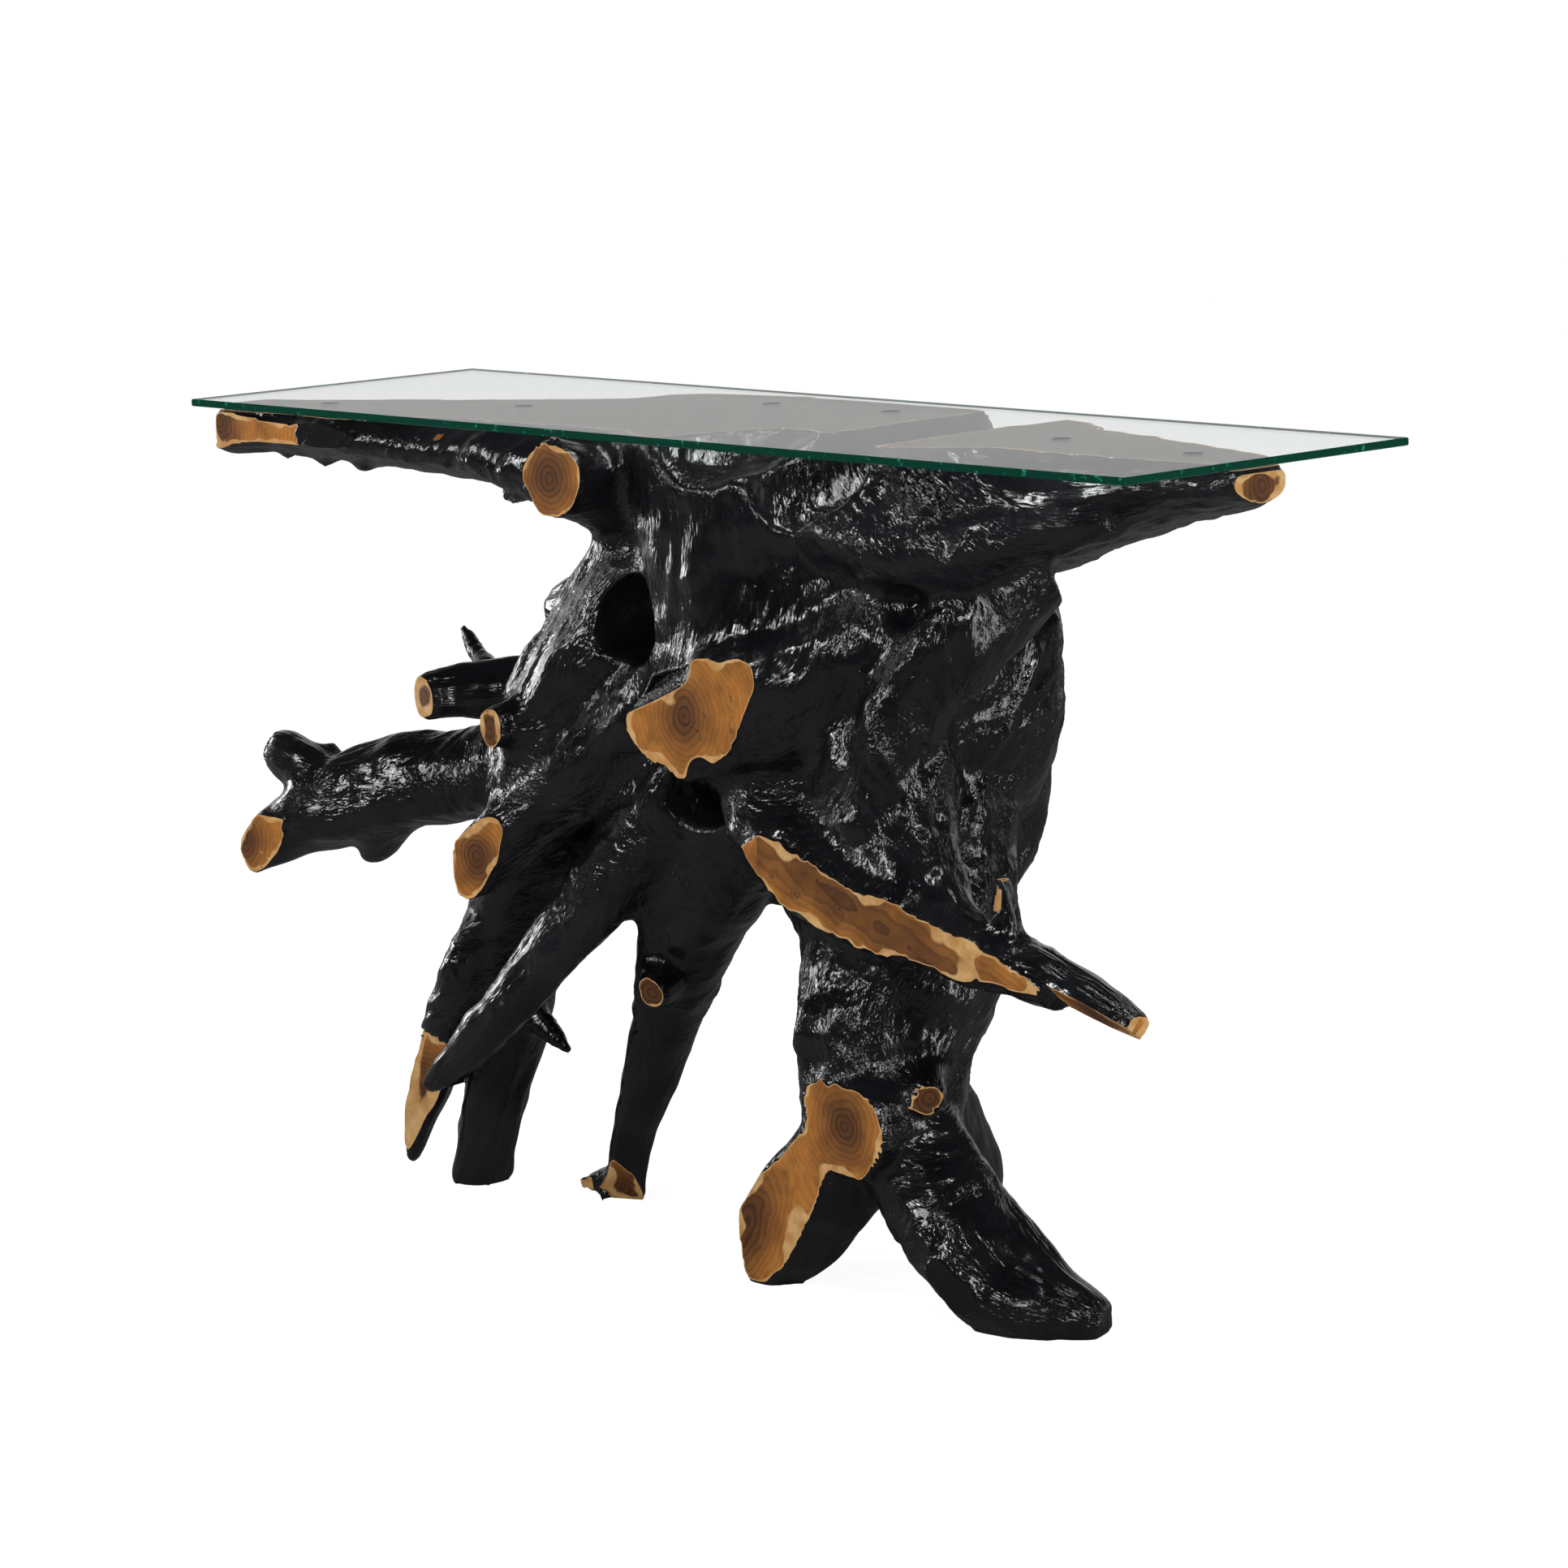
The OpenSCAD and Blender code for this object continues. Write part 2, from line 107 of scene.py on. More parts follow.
def largest_island(mesh):
    """Deletes all but the largest connected part of a mesh, so that no bubble stays inside it."""
    bm = bmesh.new()
    bm.from_mesh(mesh)
    seen = set()
    largest = []
    for seed in bm.verts:
        if seed in seen:
            continue
        seen.add(seed)
        island = [seed]
        for vert in island:
            for edge in vert.link_edges:
                other = edge.other_vert(vert)
                if other not in seen:
                    seen.add(other)
                    island.append(other)
        largest = max(largest, island, key=len)
    kept = set(largest)
    bmesh.ops.delete(bm, geom=[vert for vert in bm.verts if vert not in kept], context="VERTS")
    bm.to_mesh(mesh)
    bm.free()
    return mesh


def remeshed(mesh, voxel, rounds=0):
    """A mesh made again from voxels of this size, and smoothed this many rounds."""
    roots = bpy.data.objects.new("roots", mesh)
    bpy.context.scene.collection.objects.link(roots)
    remesh = roots.modifiers.new("one skin", "REMESH")
    remesh.mode = "VOXEL"
    remesh.voxel_size = voxel
    soften = roots.modifiers.new("soften", "SMOOTH")
    soften.factor = 0.5
    soften.iterations = rounds
    bpy.context.view_layer.update()
    made = bpy.data.meshes.new_from_object(roots.evaluated_get(bpy.context.evaluated_depsgraph_get()))
    bpy.data.objects.remove(roots)
    return made


def columns(mesh, name):
    """The places or the normals of a mesh's points, as an array of three columns."""
    values = np.zeros(len(mesh.vertices) * 3)
    mesh.vertices.foreach_get(name, values)
    return values.reshape(-1, 3)


def swollen(mesh, web):
    """Moves each point out along its normal by web, and by less away from the body of the stump."""
    points = columns(mesh, "co")
    far_out = np.linalg.norm((points - BODY_MIDDLE) / BODY_HALF, axis=1)
    share = np.clip(WEB_END - far_out, LEAST_WEB, 1)[:, None]
    mesh.vertices.foreach_set("co", (points + columns(mesh, "normal") * share * web).ravel())
    return mesh


VOXEL = 3.8 * MM
ROUGH_VOXEL = 5 * MM
WEB = 13 * MM
WEB_END = 1.9
LEAST_WEB = 0.25
FIRST_ROUNDS = 3
LAST_ROUNDS = 8
BODY_MIDDLE = np.array((110, -20, 590)) * MM
BODY_HALF = np.array((250, 230, 240)) * MM

bm = bmesh.new()
for mesh in wood.values():
    bm.from_mesh(mesh)
stump = bpy.data.meshes.new("roots")
bm.to_mesh(stump)
bm.free()
stump = swollen(remeshed(stump, ROUGH_VOXEL), WEB)
stump = swollen(remeshed(stump, VOXEL, FIRST_ROUNDS), -WEB)
stump = largest_island(remeshed(stump, VOXEL, LAST_ROUNDS))
print("The skin has", len(stump.vertices), "points")

# %% [markdown]
# ## Where the saw went
# Six flat cuts bound the stump: the level top, the floor, the front, the back and the two ends. Most
# shoots were sawn off square as well. A cut could be painted on as a colour, but on the real wood it has
# a crisp edge and its outline follows every lump, so each cut is kept as a plane that the skin is trimmed
# to later. The planes are measured on the CAD solids.

# %% The saw cuts
# Each sawn shoot: a place near its end and how far the cut reaches, in millimetres
SHOOT_ENDS = {
    "short_root": ((-357, -174, 553), 40),
    "root_fist": ((-640, -153, 464), 36),
    "twig": ((-454, -34, 606), 14),
    "crown_peg": ((-344, -54, 762), 20),
    "leg_spur": ((-334, -158, 280), 20),
    "split_spur": ((-424, -110, 186), 18),
    "leg_stub": ((-56, -130, 261), 30),
    "right_knob": ((380, -156, 216), 28),
    "branch": ((684, -181, 333), 28),
    "branch_twig": ((504, -174, 454), 20),
    "sloping_root": ((-360, -190, 124), 14),
    "foot_nub": ((-257, -55, 11), 16),
}


def cad_tree():
    """A search tree over all the wood's triangles, with each one's node, middle and normal."""
    points = []
    triangles = []
    owners = []
    middles = []
    normals = []
    for number, name in enumerate(WOOD):
        start = len(points)
        mesh = wood[name]
        points += [vert.co.copy() for vert in mesh.vertices]
        for face in mesh.polygons:
            triangles.append([start + i for i in face.vertices])
            owners.append(number)
            middles.append(face.center.copy())
            normals.append(face.normal.copy())
    return BVHTree.FromPolygons(points, triangles), np.array(owners), np.array(middles), np.array(normals)


WHOLE_STUMP = 9
OFF_PLANE = 0.3 * MM
SAME_WAY = 0.999

tree, owners, middles, normals = cad_tree()
crown_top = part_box("crown")[1]
trunk_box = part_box("trunk")
# Each cut: its name, a place on it, the way it faces and how far it reaches
CUTS = [
    ("top", Vector((0, 0, crown_top[2])), Vector((0, 0, 1)), WHOLE_STUMP),
    ("floor", Vector((0, 0, 0)), Vector((0, 0, -1)), WHOLE_STUMP),
    ("front", Vector((0, trunk_box[0][1], 0)), Vector((0, -1, 0)), WHOLE_STUMP),
    ("back", Vector((0, trunk_box[1][1], 0)), Vector((0, 1, 0)), WHOLE_STUMP),
    ("left", Vector((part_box("left_arm")[0][0], 0, 0)), Vector((-1, 0, 0)), WHOLE_STUMP),
    ("right", Vector((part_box("right_arm")[1][0], 0, 0)), Vector((1, 0, 0)), WHOLE_STUMP),
]
for name, (place, reach) in SHOOT_ENDS.items():
    where, way, triangle, gap = tree.find_nearest(Vector(place) * MM)
    CUTS.append((name, where, way, reach * MM))
    print(name, "faces", [round(c, 2) for c in way], "and is off by", round(gap, 4))

cut_of_triangle = np.full(len(owners), -1)
for number, (name, where, way, reach) in enumerate(CUTS):
    offset = middles - np.array(where)
    on_plane = (np.abs(offset @ np.array(way)) < OFF_PLANE) & (normals @ np.array(way) > SAME_WAY)
    cut_of_triangle[on_plane & (np.linalg.norm(offset, axis=1) < reach)] = number
    print(name, "cut:", int((cut_of_triangle == number).sum()), "triangles")

# %% [markdown]
# ## The way the fibre runs
# Everything on this wood follows its fibre: the ridges, the streaks of the lacquer and the cracks. The
# fibre runs from the crown down each root to its tip and flows round the crotches like water. So its
# direction comes from a potential that is 1 on the crown and 0 at the tips, evened out over the skin until
# each point has the mean of its neighbours. The slope of that potential is the run of the fibre.
# A second field gives each point the place where its fibre line starts. Noise that reads this field keeps
# its value along a fibre and changes across it, which plain coordinates can't give on bent roots.

# %% Sums over neighbours


class Net:
    """The points and edges of a mesh, for sums over neighbours."""

    def __init__(self, mesh):
        self.count = len(mesh.vertices)
        self.points = columns(mesh, "co")
        ends = np.zeros(len(mesh.edges) * 2, np.int32)
        mesh.edges.foreach_get("vertices", ends)
        self.a = np.concatenate([ends[0::2], ends[1::2]])
        self.b = np.concatenate([ends[1::2], ends[0::2]])

    def total(self, values):
        """For each point, the sum of the values given for the edges that leave it."""
        if values.ndim == 1:
            return np.bincount(self.a, values, self.count)
        return np.stack([np.bincount(self.a, column, self.count) for column in values.T], 1)

    def evened(self, values, rounds, weights=None):
        """Values after so many rounds of taking the mean of the neighbours."""
        weights = np.ones(len(self.a)) if weights is None else weights
        share = self.total(weights)
        for _ in range(rounds):
            if values.ndim == 1:
                values = self.total(weights * values[self.b]) / share
            else:
                values = self.total(weights[:, None] * values[self.b]) / share[:, None]
        return values


def unit(vectors):
    """Vectors of length one."""
    return vectors / np.maximum(np.linalg.norm(vectors, axis=1, keepdims=True), 1e-9)


# %% The fibre on a coarse skin
# Each tip: its place and how far it reaches, in millimetres
ROOT_TIPS = [
    (-650, -170, 832, 40), (690, -8, 832, 30), (-357, -174, 553, 30), (-640, -153, 464, 30),
    (-625, -205, 358, 30), (-454, -34, 606, 16), (-258, -205, 378, 40), (-212, -205, 537, 26),
    (-98, -205, 808, 44), (66, -205, 573, 70), (-360, -190, 124, 20), (-450, -130, 30, 26),
    (-391, -91, 4, 36), (-202, -49, 4, 30), (172, -176, 4, 50), (560, -125, 14, 30), (184, 98, 4, 40),
    (684, -181, 333, 24), (504, -174, 454, 20), (308, -205, 180, 30), (-334, -158, 280, 20),
    (-424, -110, 186, 18), (-56, -130, 261, 24), (380, -156, 216, 24), (-180, 205, 516, 60),
    (-262, -58, 646, 30), (-344, -54, 762, 20),
]
LEAST_TIP = 18 * MM
CROWN_HALF = 200 * MM
CROWN_SKIN = 12 * MM
COARSE_VOXEL = 16 * MM
COARSE_SMOOTHING = 2
POTENTIAL_ROUNDS = 3000
START_ROUNDS = 1000
ALONG_PULL = 8


def fibre_field():
    """For each point of a coarse skin: its place, the run of its fibre and where its fibre line starts."""
    skin = Net(remeshed(stump.copy(), COARSE_VOXEL, COARSE_SMOOTHING))
    points = skin.points
    tips = np.zeros(skin.count, bool)
    for x, y, z, reach in ROOT_TIPS:
        tips |= np.linalg.norm(points - np.array((x, y, z)) * MM, axis=1) < max(reach * MM, LEAST_TIP)
    crown = (points[:, 2] > crown_top[2] - CROWN_SKIN) & (np.abs(points[:, 0]) < CROWN_HALF)
    potential = np.full(skin.count, 0.5)
    for _ in range(POTENTIAL_ROUNDS):
        potential = skin.evened(potential, 1)
        potential[tips] = 0
        potential[crown] = 1
    steps = points[skin.b] - points[skin.a]
    rise = potential[skin.b] - potential[skin.a]
    slope = skin.total(steps * (rise / np.maximum((steps ** 2).sum(1), 1e-9))[:, None])
    along = unit(skin.evened(unit(slope), 2))
    start = fibre_starts(skin, along, points.copy(), START_ROUNDS)
    print("Coarse skin:", skin.count, "points,", int(tips.sum()), "at tips,", int(crown.sum()), "on top")
    return points, along, start


def fibre_starts(skin, along, start, rounds):
    """Lets the start of each fibre line settle, so that it changes across the fibre and not along it."""
    steps = skin.points[skin.a] - skin.points[skin.b]
    way = unit(along[skin.a] + along[skin.b])
    part_along = (steps * way).sum(1)
    across = steps - way * part_along[:, None]
    weights = 1 + ALONG_PULL * part_along ** 2 / np.maximum((steps ** 2).sum(1), 1e-12)
    share = skin.total(weights)[:, None]
    for _ in range(rounds):
        start = skin.total(weights[:, None] * (start[skin.b] + across)) / share
    return start


coarse_points, coarse_along, coarse_start = fibre_field()

# %% The fibre on the fine skin
NEAREST_COARSE = 4
FINE_RUN_ROUNDS = 6
FINE_START_ROUNDS = 60

skin = Net(stump)
coarse_lookup = KDTree(len(coarse_points))
for number, point in enumerate(coarse_points):
    coarse_lookup.insert(point, number)
coarse_lookup.balance()
found = [coarse_lookup.find_n(point, NEAREST_COARSE) for point in skin.points]
places = np.array([[index for place, index, gap in near] for near in found])
shares = np.array([[1 / (gap + MM) for place, index, gap in near] for near in found])
shares = (shares / shares.sum(1, keepdims=True))[:, :, None]
along = (shares * coarse_along[places]).sum(1)
start = skin.points + (shares * (coarse_start - coarse_points)[places]).sum(1)
along = unit(skin.evened(unit(along), FINE_RUN_ROUNDS))
start = fibre_starts(skin, along, start, FINE_START_ROUNDS)
print("Fibre lines start within", start.min(0).round(2), start.max(0).round(2))

# %% [markdown]
# ## Lumps, ridges and knots
# The surface of a washed root has three scales of relief: slow lumps where the root swelled, ridges along
# the fibre about as wide as a finger, and knots, burls and cracks in some places. The first two are noises
# that move the points of the skin along their normals. The last are a list of marks that a reader can move
# or leave out. A sculpted mesh would look as good but could not be explained or changed.

# %% The relief
# Each mark: where it starts and ends, how far it reaches and its height, in millimetres
SWIRL = [
    ((318, -166, 606), (330, -167, 560), 13, 6), ((330, -167, 560), (346, -152, 525), 12, 4),
    ((347, -151, 524), (347, -151, 524), 10, 8), ((352, -148, 512), (366, -139, 482), 12, 5),
    ((366, -139, 482), (399, -157, 446), 11, 6), ((399, -157, 446), (482, -186, 408), 11, 6),
    ((352, -122, 560), (374, -118, 492), 11, -5), ((374, -118, 492), (420, -140, 442), 11, -4),
]
FAN = [
    ((337, 81, 667), (339, -39, 599), 9, 4), ((339, -39, 599), (351, -112, 528), 9, 4),
    ((348, 45, 639), (341, 3, 561), 9, 4), ((341, 3, 561), (327, -43, 483), 9, 4),
]
LUMPS = [
    ((188, -198, 637), (188, -198, 637), 15, 6), ((216, -191, 474), (216, -191, 474), 16, 6),
    ((292, -174, 486), (292, -174, 486), 26, 8), ((421, -125, 778), (412, -131, 756), 15, 6),
    ((277, -155, 779), (400, -133, 752), 12, 6), ((-35, -108, 315), (-15, -100, 318), 20, 6),
    ((244, -185, 300), (236, -195, 256), 17, 6), ((83, -185, 719), (70, -188, 712), 12, 5),
]
CRACKS = [
    ((428, -118, 168), (434, -146, 126), 6, -7), ((434, -146, 126), (427, -198, 72), 6, -5),
    ((556, -160, 10), (572, -152, 12), 12, -8),
]
OUTLINES = [
    ((258, -205, 245), (258, -205, 245), 24, -7), ((2, -205, 600), (74, -205, 632), 26, -17),
    ((112, -205, 518), (112, -205, 518), 22, -13), ((26, -205, 510), (26, -205, 510), 18, 11),
    ((163, -205, 612), (172, -205, 630), 34, 15),
]
MARKS = SWIRL + FAN + LUMPS + CRACKS + OUTLINES
BURL = np.array((205, -110, 732)) * MM
BURL_REACH = 95 * MM


def ridge(place, seed):
    """Noise with round backs and sharp valleys, from -1 to 1."""
    return 1 - 2.4 * abs(noise.noise(place + Vector((seed, 0, 0))))


def gap_to(points, first, last):
    """The distance from each point to the straight line between two places."""
    run = last - first
    share = np.clip((points - first) @ run / max(run @ run, 1e-12), 0, 1)
    return np.linalg.norm(points - first - share[:, None] * run, axis=1)


nearest = [tree.find_nearest(point)[2] for point in skin.points]
point_cut = cut_of_triangle[nearest]
point_owner = owners[nearest]
free = (point_cut < 0).astype(float)
free = np.minimum(free, skin.evened(free, 2) * 1.5)
burl = np.exp(-2 * (gap_to(skin.points, BURL, BURL) / BURL_REACH) ** 2)
relief = np.zeros(skin.count)
# Heights are in millimetres, and a place times 15 gives about 15 lumps a metre
for number in np.flatnonzero(free):
    place = Vector(skin.points[number])
    line = Vector(start[number])
    lumps = 4.5 * noise.noise(place * 15) + 2.4 * noise.noise(place * 34 + Vector((9, 0, 0)))
    strands = 1.7 * ridge(line * 42 + place * 2, 3) + 0.5 * ridge(line * 100 + place * 5, 7)
    knobs = burl[number] * (5 * noise.noise(place * 45) + 1.5 * noise.noise(place * 95))
    relief[number] = (lumps + strands + knobs - 1.2) * MM
relief = relief * free
for first, last, reach, height in MARKS:
    gap = gap_to(skin.points, np.array(first) * MM, np.array(last) * MM) / (reach * MM)
    relief += height * MM * np.exp(-2 * gap ** 2)
shaped = skin.points + columns(stump, "normal") * relief[:, None]
print("Relief from", round(relief.min() / MM, 1), "to", round(relief.max() / MM, 1), "mm")

# %% [markdown]
# ## Crisp saw cuts
# The skin is cut a little inside each saw plane, and all that stands past this line is pressed flat on
# the plane. So each cut has a sharp outline that follows the lumps. Some cuts that the CAD model leaves out
# are made here too: the toe of the middle leg and its nub, the split face of the left root, the underside
# of the branch and the side of its twig. Painting them on would leave the round skin under the colour.

# %% The trimmed skin
BARE = 1
DARK_TOP = 2
CUT_DEPTH = 2.2 * MM
NEAR = 10 * MM
SNAP = 0.02 * MM
PAST_SNAP = 0.03 * MM
FLAT_ENOUGH = 0.9
# Each cut as in CUTS, in millimetres
CARVED = [
    ("middle_toe", (-183, -59, 24), (0.35, -0.75, -0.55), 38),
    ("toe_nub", (-250, -60, 13), (0, -0.97, -0.2), 15),
    ("split_face", (-425, -144, 86), (0.1, -0.99, 0), 95),
    ("branch_underside", (638, -182, 337), (-0.2, -0.6, -0.77), 66),
    ("twig_face", (499, -178, 440), (-0.3, -0.95, 0.1), 20),
]
for name, where, way, reach in CARVED:
    CUTS.append((name, Vector(where) * MM, Vector(way).normalized(), reach * MM))

stump.vertices.foreach_set("co", shaped.ravel())
stump.attributes.new("fibre", "FLOAT_VECTOR", "POINT").data.foreach_set("vector", start.ravel())
stump.attributes.new("owner", "INT", "POINT").data.foreach_set("value", point_owner.astype(np.int32))
bm = bmesh.new()
bm.from_mesh(stump)
mark = bm.verts.layers.int.new("cut")


def trim(number, close):
    """Takes the skin back to one saw cut near these points, and gives the points of the new edge."""
    name, where, way, reach = CUTS[number]
    inner = where - way * CUT_DEPTH
    crossed = []
    for face in {face for vert in close for face in vert.link_faces}:
        heights = [(vert.co - inner).dot(way) for vert in face.verts]
        if min(heights) < 0 < max(heights) and (face.verts[0].co - where).length < reach + NEAR:
            crossed.append(face)
    edges = {edge for face in crossed for edge in face.edges}
    corners = {vert for face in crossed for vert in face.verts}
    made = []
    if crossed:
        cut = bmesh.ops.bisect_plane(bm, geom=[*corners, *edges, *crossed], dist=SNAP,
                                     plane_co=inner, plane_no=way)["geom_cut"]
        made = [part for part in cut if isinstance(part, bmesh.types.BMVert)]
    for vert in close + made:
        height = (vert.co - where).dot(way)
        if height > -CUT_DEPTH - PAST_SNAP and (vert.co - where).length < reach:
            vert.co -= way * height
            vert.co.z = max(vert.co.z, 0)
            vert[mark] = number + 1
    return made


all_verts = list(bm.verts)
edge_verts = []
for number, (name, where, way, reach) in enumerate(CUTS):
    offset = shaped - np.array(where)
    close = (offset @ np.array(way) > -NEAR) & (np.linalg.norm(offset, axis=1) < reach + NEAR)
    edge_verts += trim(number, [all_verts[i] for i in np.flatnonzero(close)] + edge_verts)
sawn = bm.faces.layers.int.new("sawn")
for face in bm.faces:
    marks = {vert[mark] for vert in face.verts}
    if 0 not in marks and any(abs(face.normal.dot(CUTS[m - 1][2])) > FLAT_ENOUGH for m in marks):
        # Faces of the top cut get the dark brown top colour, and the other cuts bare wood
        face[sawn] = DARK_TOP if marks == {1} else BARE
bm.normal_update()
print("Sawn faces:", sum(face[sawn] > 0 for face in bm.faces), "of", len(bm.faces))

# %% [markdown]
# ## The grain on the bare wood
# A saw cut across a root shows rings round its pith and a pale rim of sapwood. A cut along a root shows
# the same rings as long lines. So each bare face gets two measures: how far the point is from the pith,
# with nearly all of the part along the fibre taken out, and how far it is from the edge of the cut.
# Painting the rings as circles round each face's middle would be wrong on the long cuts. A third measure
# is above 0 where the lacquer is worn off the skin, and below 0 where it covers a cut.

# %% Rings and rim
PITH_REACH = 110 * MM
PITH_DEPTH = 20 * MM
ALONG_SHARE = 0.94
SMALLEST_CUT = 12
# Where the pith of a root shows on a cut or lies behind it, in millimetres
PITHS = [
    (90, -205, 580), (-104, -205, 810), (308, -205, 186), (160, -205, 60), (-650, -180, 838),
    (-640, -205, 372), (380, -156, 216),
]
# Places with broad pale sapwood, each with its reach and how much broader it is
SAPWOOD = [
    ((485, -205, 425), 52, 9), ((250, -205, 55), 42, 5), ((388, -205, 190), 36, 4),
    ((258, -205, 175), 26, 3), ((70, -205, 500), 60, 3), ((-425, -144, 87), 80, 14),
    ((-630, -205, 812), 26, 4), ((-620, -205, 348), 26, 4),
]
# Places where the lacquer covers a cut, and where it is worn off, each with its reach
PAINTED = [((-430, -205, 830), 84), ((-330, -205, 820), 70), ((470, -205, 60), 90)]
WORN = [((-315, -176, 836), 13), ((421, -125, 778), 5), ((409, -131, 754), 5), ((428, -118, 168), 7)]
# The measure in the middle of such a spot. It falls by 1 from there to the spot's reach
SPOT_REACH = 2
# On top the fibre stands upright in the log and lies down in the arms
LOG_HALF = 160 * MM
# The long cut of the branch: its least x, its least z, its greatest z and the run of its fibre
BRANCH_CUT = (0.19, 0.3, 0.5)
BRANCH_RUN = Vector((0.93, 0, -0.36))
# The toe of the left foot: its greatest x, its greatest z and the run of its fibre
FOOT_CUT = (0.27, 0.13)
FOOT_RUN = Vector((0.5, 0.5, 0.7)).normalized()


def bare_islands():
    """The bare faces, in connected groups."""
    seen = set()
    for seed in bm.faces:
        if not seed[sawn] or seed in seen:
            continue
        seen.add(seed)
        island = [seed]
        for face in island:
            for edge in face.edges:
                for other in edge.link_faces:
                    if other[sawn] and other not in seen:
                        seen.add(other)
                        island.append(other)
        yield island


def run_on_cut(point, way):
    """The run of the fibre at a point of a bare face that looks this way."""
    if way.z > FLAT_ENOUGH:
        level = min(max(abs(point.x) / LOG_HALF - 1, 0), 1)
        out = Vector((math.copysign(1, point.x), -0.2, 0))
        return (Vector((0, 0, 1)) * (1 - level) + out * level).normalized()
    if way.y < -FLAT_ENOUGH and point.x > BRANCH_CUT[0] and BRANCH_CUT[1] < point.z < BRANCH_CUT[2]:
        return BRANCH_RUN
    if way.y < -FLAT_ENOUGH and point.x < FOOT_CUT[0] and point.z < FOOT_CUT[1]:
        return FOOT_RUN
    return way


def breadth(point):
    """How many times as broad as usual the sapwood is at this point."""
    total = 1
    for place, reach, times in SAPWOOD:
        gap = (point - Vector(place) * MM).length / (reach * MM)
        total += times * math.exp(-2 * gap ** 2)
    return total


def measure(island):
    """Writes the ring and rim measures on one group of bare faces."""
    verts = {vert for face in island for vert in face.verts}
    middle = sum((face.calc_center_median() for face in island), Vector()) / len(island)
    way = sum((face.normal for face in island), Vector()).normalized()
    piths = [Vector(place) * MM for place in PITHS if (Vector(place) * MM - middle).length < PITH_REACH]
    members = set(island)
    border = [vert for vert in verts if any(face not in members for face in vert.link_faces)]
    edge_lookup = KDTree(len(border))
    for number, vert in enumerate(border):
        edge_lookup.insert(vert.co, number)
    edge_lookup.balance()
    for vert in verts:
        run = run_on_cut(vert.co, way)
        offsets = [vert.co - pith for pith in piths or [middle - way * PITH_DEPTH]]
        vert[ring] = min((offset - run * offset.dot(run) * ALONG_SHARE).length for offset in offsets)
        vert[rim] = edge_lookup.find(vert.co)[2] / breadth(vert.co)


ring = bm.verts.layers.float.new("ring")
rim = bm.verts.layers.float.new("rim")
lap = bm.verts.layers.float.new("lap")
islands = list(bare_islands())
for island in islands:
    if len(island) > SMALLEST_CUT:
        measure(island)
    else:
        for face in island:
            face[sawn] = 0
for sign, places in ((-1, PAINTED), (1, WORN)):
    for place, reach in places:
        for vert in bm.verts:
            depth = SPOT_REACH - (vert.co - Vector(place) * MM).length / (reach * MM)
            if depth > abs(vert[lap]):
                vert[lap] = sign * depth
print("Cuts:", len(islands), "groups of faces, the largest of", max(len(island) for island in islands))

# %% [markdown]
# ## A piece for each CAD node
# The skin is cut back into one piece per CAD node, so that each root stays a piece of its own. Neighbours
# share their border exactly, and each piece keeps the normals of the whole skin, so that no seam shows in
# the gloss. Each open end is closed inside the joint, behind a short wall. Cutting with a plane at each
# joint would be simpler, but the joints cross each other and such planes would nick the roots next door.

# %% The pieces
owner_layer = bm.verts.layers.int["owner"]
for face in bm.faces:
    votes = [vert[owner_layer] for vert in face.verts]
    face.material_index = max(votes, key=votes.count)
    face.smooth = True
for edge in bm.edges:
    edge.smooth = len({face[sawn] > 0 for face in edge.link_faces}) == 1
for name in WOOD:
    stump.materials.append(bpy.data.materials.new("part_" + name))
bm.to_mesh(stump)
bm.free()
corner_normals = np.zeros(len(stump.loops) * 3, np.float32)
stump.corner_normals.foreach_get("vector", corner_normals)
stump.attributes.new("whole_normal", "FLOAT_VECTOR", "CORNER").data.foreach_set("vector", corner_normals)
whole = bpy.data.objects.new("stump", stump)
bpy.context.scene.collection.objects.link(whole)
bpy.ops.object.select_all(action="DESELECT")
bpy.context.view_layer.objects.active = whole
whole.select_set(True)
bpy.ops.object.mode_set(mode="EDIT")
bpy.ops.mesh.select_all(action="SELECT")
bpy.ops.mesh.separate(type="MATERIAL")
bpy.ops.object.mode_set(mode="OBJECT")
pieces = {}
for piece in list(bpy.context.selected_objects):
    owner = piece.data.polygons[0].material_index
    name = piece.data.materials[owner].name.removeprefix("part_")
    piece.name = "root_" + name
    pieces[name] = piece
print("Pieces cut from the skin:", len(pieces))

# %% The closed pieces
WALL = 4 * MM


def open_ends(bm):
    """The open edges of a mesh, in connected groups. A dict keeps them in the same order on each run."""
    left = dict.fromkeys(edge for edge in bm.edges if edge.is_boundary)
    while left:
        group = [left.popitem()[0]]
        for edge in group:
            for other in [other for vert in edge.verts for other in vert.link_edges]:
                if other in left:
                    del left[other]
                    group.append(other)
        yield group


